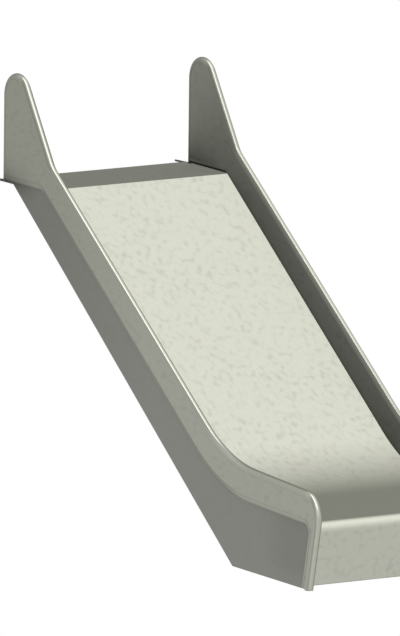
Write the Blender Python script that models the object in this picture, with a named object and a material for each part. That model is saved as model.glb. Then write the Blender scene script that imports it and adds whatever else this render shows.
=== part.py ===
"""A wide embankment slide in sheet steel, with a pair of tall entry ears.

One bent bed sheet makes the entry plate, the slope, the run-out curve, the run-out, its nose
and the apron under the nose. On each side stands a hollow cheek, 40 mm thick: a rolled edging
follows its whole outline and an outer and an inner skin close its faces. A stringer plate
carries each cheek and each edge of the bed down to the ground, and cross ribs join the two
stringers under the bed.

World frame: X runs across the slide, the outlet faces -Y and +Z is up. The origin is the
middle of the front foot channel's underside, at ground level. The side profile is laid out as
(u, z): u is the level distance forward from the entry fold, z the height above the ground.
"""

import math

import bmesh
import bpy
from mathutils import Matrix, Vector

# Driving dimensions, in metres and degrees
CHUTE_WIDTH = 1.000
CHEEK_THICKNESS = 0.040
SHEET = 0.003
STRINGER_THICKNESS = 0.005
CLEARANCE = 0.0003

ENTRY_HEIGHT = 1.560
ENTRY_LENGTH = 0.423
ENTRY_HEM = 0.012
ENTRY_BEND = 0.004
SLOPE_ANGLE = 34.85
CURVE_RADIUS = 0.970
RUNOUT_ANGLE = 2.0
RUNOUT_END = 2.512
RUNOUT_HEIGHT = 0.317
NOSE_RADIUS = 0.050
APRON_LEAN = 13.7
APRON_BOTTOM = 0.004
APRON_HEM = 0.025
HEM_BEND = 0.006

EAR_BACK = 0.361
EAR_BACK_LEAN = 1.3
EAR_TOP_RADIUS = 0.1007
EAR_FRONT_ANGLE = 55.9
EAR_FRONT_FOOT = 0.157
EAR_BLEND_RADIUS = 0.150
RAIL_TOP_RISE = 0.1685
RAIL_SLOPE_ANGLE = 34.47
RAIL_CURVE_RADIUS = 0.900
RAIL_RUNOUT_ANGLE = 2.83
RAIL_RUNOUT_HEIGHT = 0.4626
RAIL_RUNOUT_AT = 2.500
RAIL_CORNER_RADIUS = 0.110
LEG_FRONT_FOOT = 2.5695
LEG_AXIS_SPACING = 0.031
LEG_INNER_RADIUS = 0.055
LEG_CORNER_RADIUS = 0.035

EDGING_RADIUS = CHEEK_THICKNESS / 2
EDGING_FLANGE = 0.007
EDGING_NOSE_STEPS = 10
EDGING_LIFT = 0.0008
INNER_CORNER_EASE = 0.0005
SKIN_INSET = 0.0008
FOOT_PLATE = 0.004
FOOT_ARC_STEPS = 10

STRINGER_BACK = 0.299
STRINGER_DROP = 0.0105
STRINGER_GROUND_START = 1.844
TONGUE_END = 0.530
TONGUE_TAPER_START = 0.399
TONGUE_TIP_HEIGHT = 0.008
TONGUE_TIP_DROP = 0.005

LIP_WIDTH = 0.030
LIP_THICKNESS = 0.005
LIP_BACK = -0.200
LIP_FRONT = 1.800

RIB_SIZE = 0.040
RIB_THICKNESS = 0.004
ENTRY_RIB_AT = -0.200
SLOPE_RIB_DISTANCES = (0.22, 0.70, 1.18, 1.66)
RUNOUT_RIB_POSITIONS = (2.080, 2.300)

FOOT_WIDTH = 0.060
FOOT_HEIGHT = 0.045
FOOT_WALL = 0.004
FOOT_FRONT_AT = 2.400
FOOT_BACK_AT = 1.920

# Sizes worked out from the driving dimensions
BED_HALF_WIDTH = CHUTE_WIDTH / 2 + CHEEK_THICKNESS / 2 - STRINGER_THICKNESS / 2 - CLEARANCE
CHEEK_AXIS_X = CHUTE_WIDTH / 2 + CHEEK_THICKNESS / 2
APRON_HALF_WIDTH = CHUTE_WIDTH / 2 - CLEARANCE
ARC_SAGITTA = 0.0003
CUT_MARGIN = 0.1
SIDES = {"left": -1, "right": 1}


def heading(angle):
    """Unit vector in the (u, z) plane at an angle in degrees above forward."""
    return Vector((math.cos(math.radians(angle)), math.sin(math.radians(angle))))


def line(u, z, angle):
    """A straight line of the side profile: a point on it and its direction of travel."""
    return Vector((u, z)), heading(angle)


def shifted(one, distance):
    """The same line moved sideways to the right of its travel."""
    point, direction = one
    right = Vector((direction.y, -direction.x))
    return point + right * distance, direction


def meet(first, second):
    """The point where two lines cross."""
    p, d = first
    q, e = second
    along = ((q - p).x * e.y - (q - p).y * e.x) / (d.x * e.y - d.y * e.x)
    return p + d * along


def rounded(before, corner, after, radius):
    """The points of the arc that rounds one corner, or the corner where there is no radius."""
    if radius <= 0:
        return [corner]
    d, e = before[1], after[1]
    turn = math.atan2(d.x * e.y - d.y * e.x, d.dot(e))
    trim = radius * math.tan(abs(turn) / 2)
    start = corner - d * trim
    inward = Vector((-d.y, d.x)) * math.copysign(1, turn)
    centre = start + inward * radius
    arc_step = 2 * math.acos(1 - ARC_SAGITTA / radius)
    steps = max(3, math.ceil(abs(turn) / arc_step))
    spoke = start - centre
    points = []
    for step in range(steps + 1):
        angle = turn * step / steps
        points.append(centre + Vector((
            spoke.x * math.cos(angle) - spoke.y * math.sin(angle),
            spoke.x * math.sin(angle) + spoke.y * math.cos(angle))))
    return points


def path(lines, radii, inset=0.0):
    """Points along a run of lines with rounded corners, moved to the right by an inset.

    The first and the last line only end the run, so they aren't moved.
    """
    moved = [lines[0]] + [shifted(one, inset) for one in lines[1:-1]] + [lines[-1]]
    points = [meet(moved[0], moved[1])]
    for index, radius in enumerate(radii, start=1):
        before, after = moved[index], moved[index + 1]
        d, e = before[1], after[1]
        right_turn = d.x * e.y - d.y * e.x < 0
        reach = radius - inset if right_turn else radius + inset
        if radius == 0:
            reach = 0
        points += rounded(before, meet(before, after), after, reach)
    points.append(meet(moved[-2], moved[-1]))
    return points


# Straight lines of the bed's top face, from the entry to the apron
entry_line = line(0, ENTRY_HEIGHT, 0)
slope_line = line(0, ENTRY_HEIGHT, -SLOPE_ANGLE)
runout_line = line(RUNOUT_END, RUNOUT_HEIGHT, -RUNOUT_ANGLE)
nose_reach = NOSE_RADIUS * math.tan(math.radians(90 + APRON_LEAN - RUNOUT_ANGLE) / 2)
nose_corner = runout_line[0] + runout_line[1] * nose_reach
apron_line = line(nose_corner.x, nose_corner.y, -90 - APRON_LEAN)
ground_line = line(0, 0, 180)

# Axes of the edging round a cheek, clockwise from the back of the ear
ear_back = line(-EAR_BACK, ENTRY_HEIGHT, 90 - EAR_BACK_LEAN)
ear_front = line(EAR_FRONT_FOOT, ENTRY_HEIGHT, -EAR_FRONT_ANGLE)
rail_slope = line(0, ENTRY_HEIGHT + RAIL_TOP_RISE, -RAIL_SLOPE_ANGLE)
rail_runout = line(RAIL_RUNOUT_AT, RAIL_RUNOUT_HEIGHT, -RAIL_RUNOUT_ANGLE)
leg_front = line(LEG_FRONT_FOOT, 0, -90 - APRON_LEAN)
leg_back = shifted((leg_front[0], -leg_front[1]), -LEG_AXIS_SPACING)
foot_line = line(0, FOOT_PLATE + CLEARANCE, 180)
seat = EDGING_RADIUS + CLEARANCE


def above(one, distance):
    """A bed line raised square to itself, and travelled backwards."""
    point, direction = shifted(one, -distance)
    return point, -direction


low_runout = above(runout_line, seat)
low_slope = above(slope_line, seat)
low_entry = above(entry_line, seat)
UPPER_RADII = (EAR_TOP_RADIUS, EAR_BLEND_RADIUS, RAIL_CURVE_RADIUS, RAIL_CORNER_RADIUS)
LOWER_RADII = (LEG_INNER_RADIUS, CURVE_RADIUS - seat, seat + INNER_CORNER_EASE)

# The arc that rounds the back corner at the foot of a leg
back_face = shifted(leg_back, -EDGING_RADIUS)
sole_line = (foot_line[0], -foot_line[1])
leg_corner = rounded((back_face[0], -back_face[1]), meet(back_face, sole_line), sole_line,
                     LEG_CORNER_RADIUS)
foot_end = leg_corner[-1].x

# Where the apron's hem ends, and where the bed narrows to pass between the legs
apron_hem_end = meet(apron_line, line(0, APRON_BOTTOM, 0)).x - APRON_HEM
notch_start = meet(shifted(leg_back, -seat), runout_line).x - LEG_INNER_RADIUS


def start_scene():
    """Empty the scene, and make the collection of the parts and that of the cutters."""
    for old in list(bpy.data.objects):
        bpy.data.objects.remove(old, do_unlink=True)
    made = []
    for name in ("embankment_slide", "cutters"):
        collection = bpy.data.collections.new(name)
        bpy.context.scene.collection.children.link(collection)
        made.append(collection)
    return made


PARTS, CUTTERS = start_scene()


def steel(name, colour, roughness, metallic=0.85):
    """A metal finish for one kind of sub-part."""
    material = bpy.data.materials.new(name)
    material.use_nodes = True
    shader = material.node_tree.nodes["Principled BSDF"]
    shader.inputs["Base Color"].default_value = (*colour, 1)
    shader.inputs["Roughness"].default_value = roughness
    shader.inputs["Metallic"].default_value = metallic
    return material


# Local axes of a profile curve: x is u, y is z, and the curve's own z runs along -X
PROFILE_TURN = Matrix(((0, 0, -1), (-1, 0, 0), (0, 1, 0))).to_euler()


def profile_curve(name, points, closed):
    """A flat curve through (u, z) points, standing up in the side plane."""
    curve = bpy.data.curves.new(name, "CURVE")
    curve.dimensions = "2D"
    spline = curve.splines.new("POLY")
    spline.points.add(len(points) - 1)
    for slot, point in zip(spline.points, points):
        slot.co = (point.x, point.y, 0, 1)
    spline.use_cyclic_u = closed
    shape = bpy.data.objects.new(name, curve)
    shape.rotation_euler = PROFILE_TURN
    return shape


def as_mesh(shape, collection):
    """Turn a curve object into a mesh object of the same name and place."""
    name = shape.name
    collection.objects.link(shape)
    bpy.context.view_layer.update()
    evaluated = shape.evaluated_get(bpy.context.evaluated_depsgraph_get())
    mesh = bpy.data.meshes.new_from_object(evaluated)
    place = shape.matrix_world.copy()
    bpy.data.objects.remove(shape, do_unlink=True)
    weld_doubles(mesh)
    mesh.name = name
    solid = bpy.data.objects.new(name, mesh)
    solid.matrix_world = place
    collection.objects.link(solid)
    return solid


def weld_doubles(mesh):
    """Close the caps of a mesh that came from a curve."""
    work = bmesh.new()
    work.from_mesh(mesh)
    bmesh.ops.remove_doubles(work, verts=work.verts, dist=0.00001)
    bmesh.ops.recalc_face_normals(work, faces=work.faces)
    work.to_mesh(mesh)
    work.free()


def plate(name, points, x, thickness, material, collection=None):
    """A flat plate: a closed side outline, thickened evenly about the plane at x."""
    shape = profile_curve(name, points, True)
    shape.data.fill_mode = "BOTH"
    shape.data.extrude = thickness / 2
    shape.location = (x, FOOT_FRONT_AT, 0)
    solid = as_mesh(shape, collection or PARTS)
    if material:
        solid.data.materials.append(material)
    return solid


def cut(solid, cutter):
    """Take a cutter away from a solid."""
    cutter.hide_render = True
    cutter.display_type = "WIRE"
    modifier = solid.modifiers.new("cut_" + cutter.name, "BOOLEAN")
    modifier.operation = "DIFFERENCE"
    modifier.solver = "EXACT"
    modifier.object = cutter


def box_points(low_u, high_u, low_z, high_z):
    """The four corners of an upright rectangle in the side plane."""
    corners = ((low_u, low_z), (high_u, low_z), (high_u, high_z), (low_u, high_z))
    return [Vector(corner) for corner in corners]


def edging_section():
    """The closed cross-section of the rolled edging: a round nose on a short flange."""
    curve = bpy.data.curves.new("edging_section", "CURVE")
    curve.dimensions = "2D"
    spline = curve.splines.new("POLY")
    points = [(EDGING_FLANGE, -EDGING_RADIUS)]
    for step in range(EDGING_NOSE_STEPS + 1):
        angle = -math.pi / 2 - math.pi * step / EDGING_NOSE_STEPS
        points.append((EDGING_RADIUS * math.cos(angle), EDGING_RADIUS * math.sin(angle)))
    points.append((EDGING_FLANGE, EDGING_RADIUS))
    spline.points.add(len(points) - 1)
    for slot, (across, along) in zip(spline.points, points):
        slot.co = (across, along, 0, 1)
    spline.use_cyclic_u = True
    section = bpy.data.objects.new("edging_section", curve)
    section.hide_render = True
    section.display_type = "WIRE"
    CUTTERS.objects.link(section)
    return section


def edging(name, points, side, section, material):
    """A rolled edging swept along the axis of its nose."""
    shape = profile_curve(name, points, False)
    shape.data.bevel_mode = "OBJECT"
    shape.data.bevel_object = section
    shape.data.use_fill_caps = True
    shape.location = (side * CHEEK_AXIS_X, FOOT_FRONT_AT, 0)
    solid = as_mesh(shape, PARTS)
    solid.data.materials.append(material)
    solid.data.shade_smooth()
    solid.data.set_sharp_from_angle(angle=math.radians(35))
    return solid


def make_bed(material):
    """The bed: one sheet bent to the entry, slope, run-out, nose and apron."""
    lines = [
        line(0, ENTRY_HEIGHT - ENTRY_HEM, 0),
        line(-ENTRY_LENGTH, ENTRY_HEIGHT, 90),
        entry_line, slope_line, runout_line, apron_line,
        line(0, APRON_BOTTOM, 180),
        line(apron_hem_end, APRON_BOTTOM, 90),
    ]
    radii = (ENTRY_BEND, 0, CURVE_RADIUS, NOSE_RADIUS, HEM_BEND)
    top = path(lines, radii)
    underside = path(lines, radii, SHEET)
    bed = plate("slide_bed", top + underside[::-1], 0, 2 * BED_HALF_WIDTH, material)
    for label, side in SIDES.items():
        notch = plate(
            "apron_notch_" + label,
            box_points(notch_start, RUNOUT_END + CUT_MARGIN * 2, -CUT_MARGIN,
                       RUNOUT_HEIGHT + CUT_MARGIN),
            side * (APRON_HALF_WIDTH + CUT_MARGIN / 2), CUT_MARGIN, None, CUTTERS)
        cut(bed, notch)


def make_cheek(label, side, section, edging_steel, skin_steel):
    """One hollow cheek: upper and lower edging, and the two skins between them."""
    upper_lines = [
        line(0, ENTRY_HEIGHT + EDGING_LIFT, 0), ear_back, ear_front, rail_slope, rail_runout,
        leg_front, foot_line]
    butt = EDGING_FLANGE + CLEARANCE
    lower_lines = [
        foot_line, leg_back, low_runout, low_slope, low_entry, shifted(ear_back, butt)]
    for name, lines, radii in (
            ("upper_edging_", upper_lines, UPPER_RADII),
            ("lower_edging_", lower_lines, LOWER_RADII)):
        points = lengthen(path(lines, radii), lines)
        rail = edging(name + label, points, side, section, edging_steel)
        trim = plate(
            "trim_" + name + label,
            box_points(LEG_FRONT_FOOT - CUT_MARGIN * 2, LEG_FRONT_FOOT + CUT_MARGIN * 2,
                       -CUT_MARGIN, foot_line[0].y),
            side * CHEEK_AXIS_X, CHEEK_THICKNESS * 2, None, CUTTERS)
        cut(rail, trim)
    corner = plate("leg_corner_" + label, outside_corner(), side * CHEEK_AXIS_X,
                   CHEEK_THICKNESS * 2, None, CUTTERS)
    cut(rail, corner)
    outline = skin_outline(butt)
    reach = CHEEK_THICKNESS / 2 - SKIN_INSET - SHEET / 2
    for name, place in (("outer_skin_", reach), ("inner_skin_", -reach)):
        skin = plate(name + label, outline, side * (CHEEK_AXIS_X + place), SHEET, skin_steel)
        cut(skin, corner)


def lengthen(points, lines):
    """Run the leg end of an edging below the foot line, where it is trimmed level."""
    points = list(points)
    if lines[0] is foot_line:
        points[0] = points[0] - lines[1][1] * EDGING_RADIUS
    if lines[-1] is foot_line:
        points[-1] = points[-1] + lines[-2][1] * EDGING_RADIUS
    return points


def outside_corner():
    """All that lies behind and below the rounded back corner of a leg."""
    top, end = leg_corner[0], leg_corner[-1]
    return leg_corner + [
        Vector((end.x, -CUT_MARGIN)),
        Vector((top.x - CUT_MARGIN, -CUT_MARGIN)),
        Vector((top.x - CUT_MARGIN, top.y))]


def skin_outline(inset):
    """The face of a cheek inside its edging, down to the foot of the leg."""
    upper = path([shifted(low_entry, inset), ear_back, ear_front, rail_slope, rail_runout,
                  leg_front, foot_line], UPPER_RADII, inset)
    lower = path([foot_line, leg_back, low_runout, low_slope, low_entry,
                  shifted(ear_back, inset)], LOWER_RADII, inset)
    return upper + lower[:-1]


def stringer_outline():
    """The side plate: under the cheek's edging, down to the ground, with a tongue behind."""
    leg_face = shifted(leg_back, -seat)
    corner_radius = LEG_INNER_RADIUS - seat
    top = path([line(-TONGUE_END, 0, 90), entry_line, slope_line, runout_line,
                (leg_face[0], -leg_face[1]), line(0, FOOT_PLATE, 0),
                line(foot_end + CLEARANCE, 0, -90), ground_line],
               (0, CURVE_RADIUS, corner_radius, LEG_CORNER_RADIUS + CLEARANCE, 0))
    tongue_low = ENTRY_HEIGHT - TONGUE_TIP_DROP - TONGUE_TIP_HEIGHT
    back = ENTRY_HEIGHT - STRINGER_DROP
    return [
        Vector((-STRINGER_BACK, back)),
        Vector((-TONGUE_END, tongue_low)),
        Vector((-TONGUE_END, ENTRY_HEIGHT - TONGUE_TIP_DROP)),
        Vector((-TONGUE_TAPER_START, ENTRY_HEIGHT)),
    ] + top[1:] + [Vector((STRINGER_GROUND_START, 0))]


def lip_outline():
    """A flat bar along the inside of the stringer's sloping lower edge."""
    back = Vector((-STRINGER_BACK, ENTRY_HEIGHT - STRINGER_DROP))
    front = Vector((STRINGER_GROUND_START, 0))
    run = (front - back).normalized()
    rise = Vector((-run.y, run.x)) * LIP_THICKNESS
    low = back + run * ((LIP_BACK + STRINGER_BACK) / run.x)
    high = back + run * ((LIP_FRONT + STRINGER_BACK) / run.x)
    return [low, high, high + rise, low + rise]


def angle_outline(corner, run):
    """An angle bar's L section, its upper leg lying against the sheet above it."""
    down = Vector((run.y, -run.x))
    steps = (
        (0, 0), (RIB_SIZE, 0), (RIB_SIZE, RIB_THICKNESS), (RIB_THICKNESS, RIB_THICKNESS),
        (RIB_THICKNESS, RIB_SIZE), (0, RIB_SIZE))
    return [corner + run * along + down * below for along, below in steps]


def make_ribs(material):
    """Angle bars across the underside of the bed, from stringer to stringer."""
    gap = SHEET + CLEARANCE
    slope_under = shifted(slope_line, gap)
    runout_under = shifted(runout_line, gap)
    places = [("entry_rib", Vector((ENTRY_RIB_AT, ENTRY_HEIGHT - gap)), entry_line[1])]
    for number, distance in enumerate(SLOPE_RIB_DISTANCES, start=1):
        corner = slope_under[0] + slope_under[1] * distance
        places.append((f"slope_rib_{number}", corner, slope_under[1]))
    for number, at in enumerate(RUNOUT_RIB_POSITIONS, start=1):
        corner = meet(line(at, 0, 90), runout_under)
        places.append((f"runout_rib_{number}", corner, runout_under[1]))
    for name, corner, run in places:
        plate(name, angle_outline(corner, run), 0, 2 * BED_HALF_WIDTH, material)


def make_foot_channels(material):
    """Two channels on the ground between the stringers."""
    for name, at in (("front_foot_channel", FOOT_FRONT_AT), ("back_foot_channel", FOOT_BACK_AT)):
        half = FOOT_WIDTH / 2
        steps = (
            (-half, 0), (half, 0), (half, FOOT_HEIGHT), (half - FOOT_WALL, FOOT_HEIGHT),
            (half - FOOT_WALL, FOOT_WALL), (FOOT_WALL - half, FOOT_WALL),
            (FOOT_WALL - half, FOOT_HEIGHT), (-half, FOOT_HEIGHT))
        outline = [Vector((at + along, up)) for along, up in steps]
        plate(name, outline, 0, 2 * BED_HALF_WIDTH, material)


def leg_foot(label, side, material):
    """The plate that closes the foot of a leg, half round in front like the leg itself."""
    centre = meet(leg_front, foot_line).x
    back = foot_end + 2 * CLEARANCE
    outline = [Vector((back, EDGING_RADIUS)), Vector((back, -EDGING_RADIUS))]
    for step in range(FOOT_ARC_STEPS + 1):
        spoke = heading(-90 + 180 * step / FOOT_ARC_STEPS) * EDGING_RADIUS
        outline.append(Vector((centre, 0)) + spoke)
    shape = profile_curve("leg_foot_" + label, outline, True)
    shape.data.fill_mode = "BOTH"
    shape.data.extrude = FOOT_PLATE / 2
    shape.rotation_euler = (0, 0, math.radians(-90))
    shape.location = (side * CHEEK_AXIS_X, FOOT_FRONT_AT, FOOT_PLATE / 2)
    solid = as_mesh(shape, PARTS)
    solid.data.materials.append(material)


def build():
    """Make every piece of the slide."""
    bed_steel = steel("bed_steel", (0.62, 0.63, 0.57), 0.38)
    edging_steel = steel("edging_steel", (0.60, 0.61, 0.56), 0.30)
    skin_steel = steel("skin_steel", (0.55, 0.56, 0.50), 0.42)
    stringer_steel = steel("stringer_steel", (0.36, 0.37, 0.34), 0.45)
    frame_steel = steel("frame_steel", (0.42, 0.43, 0.41), 0.50)
    make_bed(bed_steel)
    section = edging_section()
    for label, side in SIDES.items():
        make_cheek(label, side, section, edging_steel, skin_steel)
        leg_foot(label, side, edging_steel)
        plate("stringer_" + label, stringer_outline(), side * CHEEK_AXIS_X,
              STRINGER_THICKNESS, stringer_steel)
        plate("stringer_lip_" + label, lip_outline(), side * (BED_HALF_WIDTH - LIP_WIDTH / 2),
              LIP_WIDTH, frame_steel)
    make_ribs(frame_steel)
    make_foot_channels(frame_steel)


build()
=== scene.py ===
"""The look of a wide embankment slide in satin sheet steel.

The slide is dressed in the order in which it is put together: the bent bed, the cheeks with
their rolled edging and flat skins, the side plates, the bars under the bed and the feet, and
last the welds and the anchor bolts. Sizes are in metres. The side profile is laid out as
(u, z): u is the level distance forward from the fold between the entry plate and the slope,
and z is the height above the ground.
"""

import math

import bmesh
import bpy
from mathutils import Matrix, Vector


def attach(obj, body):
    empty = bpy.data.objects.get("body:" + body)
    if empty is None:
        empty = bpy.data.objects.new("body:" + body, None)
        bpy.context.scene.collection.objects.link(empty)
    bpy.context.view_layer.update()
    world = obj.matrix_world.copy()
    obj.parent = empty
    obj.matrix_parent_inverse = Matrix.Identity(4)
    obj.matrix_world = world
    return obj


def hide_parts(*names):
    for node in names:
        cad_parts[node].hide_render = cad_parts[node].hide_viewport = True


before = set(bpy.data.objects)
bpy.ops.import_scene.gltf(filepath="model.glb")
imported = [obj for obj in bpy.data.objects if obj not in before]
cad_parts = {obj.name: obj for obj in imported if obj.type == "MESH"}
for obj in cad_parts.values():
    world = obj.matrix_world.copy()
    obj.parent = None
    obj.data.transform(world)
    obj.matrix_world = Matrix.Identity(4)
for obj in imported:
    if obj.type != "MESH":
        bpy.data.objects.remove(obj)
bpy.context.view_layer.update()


# The view.
# The picture is a parallel view from the left of the outlet, a little above the slide. A very
# long lens from far away gives the same lines.
LENS = 1000.0
SENSOR_WIDTH = 36.0
VIEW_TURN = -29.858
VIEW_RISE = 9.780
VIEW_DISTANCE = 85.83
VIEW_CENTRE = Vector((0.0003, 1.7786, 0.9793))
CLIP_NEAR = 1.0
CLIP_FAR = 1000.0

camera_data = bpy.data.cameras.new("view")
camera_data.lens = LENS
camera_data.sensor_width = SENSOR_WIDTH
camera_data.clip_start = CLIP_NEAR
camera_data.clip_end = CLIP_FAR
camera = bpy.data.objects.new("view", camera_data)
turn, rise = math.radians(VIEW_TURN), math.radians(VIEW_RISE)
away = Vector((math.sin(turn) * math.cos(rise), -math.cos(turn) * math.cos(rise), math.sin(rise)))
camera.location = VIEW_CENTRE + away * VIEW_DISTANCE
camera.rotation_euler = away.to_track_quat("Z", "Y").to_euler()
bpy.context.scene.collection.objects.link(camera)
bpy.context.scene.camera = camera
bpy.context.scene.view_settings.view_transform = "Standard"


# The studio.
# A plain white floor that runs out of sight, a long bright panel overhead, a bright wall low in
# front and a darker one behind. Only the rails catch the narrow strip light above them.
FLOOR_REACH = 150.0
FLOOR_LEVEL = -0.002
WALLS = ((-1.0, 0.837), (-0.6, 0.884), (-0.3, 0.573), (0.0, 0.474), (0.3, 0.629), (0.6, 0.730),
         (0.87, 0.588), (1.0, 0.620))
WALL_TILT = 0.186
PANEL_LEVEL = 1.366
PANEL_LIFT = 0.5
PANEL_MIDDLE = 0.329
PANEL_SKEW = 0.384
PANEL_HALF_WIDTH = 0.471
PANEL_SIDE_EDGE = 2.6
PANEL_FORWARD = -0.208
PANEL_HALF_LENGTH = 0.735
PANEL_END_EDGE = 2.0
STRIP_LEVEL = 1.80
STRIP_HEIGHT = 30.0
STRIP_WIDTH = 5.4
STRIP_LENGTH = 51.0
STRIP_FORWARD = -14.4
GROUND_SHADE = 0.45
GROUND_FROM = -0.20
GROUND_TO = -0.55
GROUND_NEAR = -0.2
GROUND_FAR = 0.5
GROUND_LEFT = -0.70
GROUND_RIGHT = -0.35
FLAG_SHADE = 0.32
FLAG_FROM = -0.60
FLAG_TO = -0.88
FLAG_LOW = -0.35
FLAG_HIGH = -0.05
FLAG_NEAR = 0.0
FLAG_FAR = 0.45


def add_node(tree, kind, inputs=None, **settings):
    """A node in a tree, with its properties set and its inputs given a value or a link."""
    made = tree.nodes.new(kind)
    for name, value in settings.items():
        setattr(made, name, value)
    for name, value in (inputs or {}).items():
        if isinstance(value, bpy.types.NodeSocket):
            tree.links.new(value, made.inputs[name])
        else:
            made.inputs[name].default_value = value
    return made


def axes_of(tree, source):
    """The X, Y and Z of one of the coordinates that a tree can read."""
    vector = add_node(tree, "ShaderNodeTexCoord").outputs[source]
    return add_node(tree, "ShaderNodeSeparateXYZ", {0: vector}).outputs


def calculate(tree, operation, *values):
    """One step of arithmetic in a node tree."""
    return add_node(tree, "ShaderNodeMath", dict(enumerate(values)), operation=operation).outputs[0]


def product(tree, first, *others):
    """Several values multiplied together."""
    for other in others:
        first = calculate(tree, "MULTIPLY", first, other)
    return first


def dimmed(tree, share, depth):
    """A level of 1 that a share between 0 and 1 takes down by a depth."""
    return calculate(tree, "MULTIPLY_ADD", share, -depth, 1.0)


def ramp(tree, value, stops, interpolation="B_SPLINE"):
    """A ramp from a value between 0 and 1 to a grey level."""
    made = add_node(tree, "ShaderNodeValToRGB", {"Fac": value})
    made.color_ramp.interpolation = interpolation
    while len(made.color_ramp.elements) < len(stops):
        made.color_ramp.elements.new(0.5)
    for element, (at, level) in zip(made.color_ramp.elements, stops):
        element.position = at
        element.color = (level, level, level, 1)
    return made.outputs["Color"]


def fade(tree, value, start, end, smooth=True):
    """A rise from 0 to 1 between two values."""
    return add_node(tree, "ShaderNodeMapRange", {
        "Value": value, "From Min": start, "From Max": end, "To Min": 0.0, "To Max": 1.0},
        interpolation_type="SMOOTHSTEP" if smooth else "LINEAR").outputs[0]


def bell(tree, value, middle, half_width, edge):
    """A hump that is 1 in the middle and fades out on both sides."""
    off = calculate(tree, "ABSOLUTE", calculate(tree, "SUBTRACT", value, middle))
    apart = calculate(tree, "POWER", calculate(tree, "DIVIDE", off, half_width), edge)
    return calculate(tree, "EXPONENT", calculate(tree, "MULTIPLY", apart, -1.0))


def light_the_studio():
    """The light that the steel reflects, and plain white behind the object."""
    world = bpy.data.worlds.new("studio")
    world.use_nodes = True
    tree = world.node_tree
    tree.nodes.clear()
    axes = axes_of(tree, "Generated")
    behind = calculate(tree, "MULTIPLY_ADD", axes["Y"], 0.5, 0.5)
    walls = ramp(tree, behind, [(0.5 + y / 2, level) for y, level in WALLS], "LINEAR")
    tilt = calculate(tree, "MULTIPLY_ADD", axes["X"], WALL_TILT, 1.0)
    lift = calculate(tree, "POWER", calculate(tree, "MAXIMUM", axes["Z"], 0.0), PANEL_LIFT)
    middle = calculate(tree, "MULTIPLY_ADD", axes["Y"], PANEL_SKEW, PANEL_MIDDLE)
    across = bell(tree, axes["X"], middle, PANEL_HALF_WIDTH, PANEL_SIDE_EDGE)
    along = bell(tree, axes["Y"], PANEL_FORWARD, PANEL_HALF_LENGTH, PANEL_END_EDGE)
    panel = product(tree, across, along, lift)
    # Less light comes up from the ground behind the slide, on its left.
    ground = dimmed(tree, product(
        tree, fade(tree, axes["Z"], GROUND_FROM, GROUND_TO),
        fade(tree, axes["Y"], GROUND_NEAR, GROUND_FAR),
        fade(tree, axes["X"], GROUND_RIGHT, GROUND_LEFT)), GROUND_SHADE)
    # A dark flag stands far out on the same side.
    flag = dimmed(tree, product(
        tree, fade(tree, axes["X"], FLAG_FROM, FLAG_TO), fade(tree, axes["Z"], FLAG_LOW, FLAG_HIGH),
        fade(tree, axes["Y"], FLAG_NEAR, FLAG_FAR)), FLAG_SHADE)
    around = product(tree, walls, tilt, ground, flag)
    level = calculate(tree, "MULTIPLY_ADD", panel, PANEL_LEVEL, around)
    light = add_node(tree, "ShaderNodeBackground", {"Color": (1, 1, 1, 1), "Strength": level})
    white = add_node(tree, "ShaderNodeBackground", {"Color": (1, 1, 1, 1)})
    seen = add_node(tree, "ShaderNodeLightPath").outputs["Is Camera Ray"]
    both = add_node(tree, "ShaderNodeMixShader", {
        0: seen, 1: light.outputs[0], 2: white.outputs[0]})
    add_node(tree, "ShaderNodeOutputWorld", {"Surface": both.outputs[0]})
    bpy.context.scene.world = world


def lay_the_floor():
    """A wide white floor that the steel doesn't reflect."""
    material = bpy.data.materials.new("floor_white")
    material.use_nodes = True
    tree = material.node_tree
    tree.nodes.clear()
    glow = add_node(tree, "ShaderNodeEmission", {"Color": (1, 1, 1, 1)})
    add_node(tree, "ShaderNodeOutputMaterial", {"Surface": glow.outputs[0]})
    work = bmesh.new()
    bmesh.ops.create_grid(work, x_segments=1, y_segments=1, size=FLOOR_REACH)
    bmesh.ops.translate(work, verts=work.verts, vec=(0, 0, FLOOR_LEVEL))
    mesh = bpy.data.meshes.new("floor")
    work.to_mesh(mesh)
    work.free()
    mesh.materials.append(material)
    floor = bpy.data.objects.new("floor", mesh)
    floor.visible_glossy = False
    floor.visible_diffuse = False
    floor.visible_shadow = False
    bpy.context.scene.collection.objects.link(floor)


def hang_the_strip(lit):
    """A long narrow light overhead for the rolled rails alone, so that the bed isn't washed out."""
    light = bpy.data.lights.new("strip", "AREA")
    light.shape = "RECTANGLE"
    light.size = STRIP_WIDTH
    light.size_y = STRIP_LENGTH
    light.energy = STRIP_LEVEL * math.pi * STRIP_WIDTH * STRIP_LENGTH
    strip = bpy.data.objects.new("strip", light)
    strip.location = (0, STRIP_FORWARD, STRIP_HEIGHT)
    strip.visible_camera = False
    strip.light_linking.receiver_collection = lit
    bpy.context.scene.collection.objects.link(strip)


rails = bpy.data.collections.new("rails")
light_the_studio()
lay_the_floor()
hang_the_strip(rails)


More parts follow.
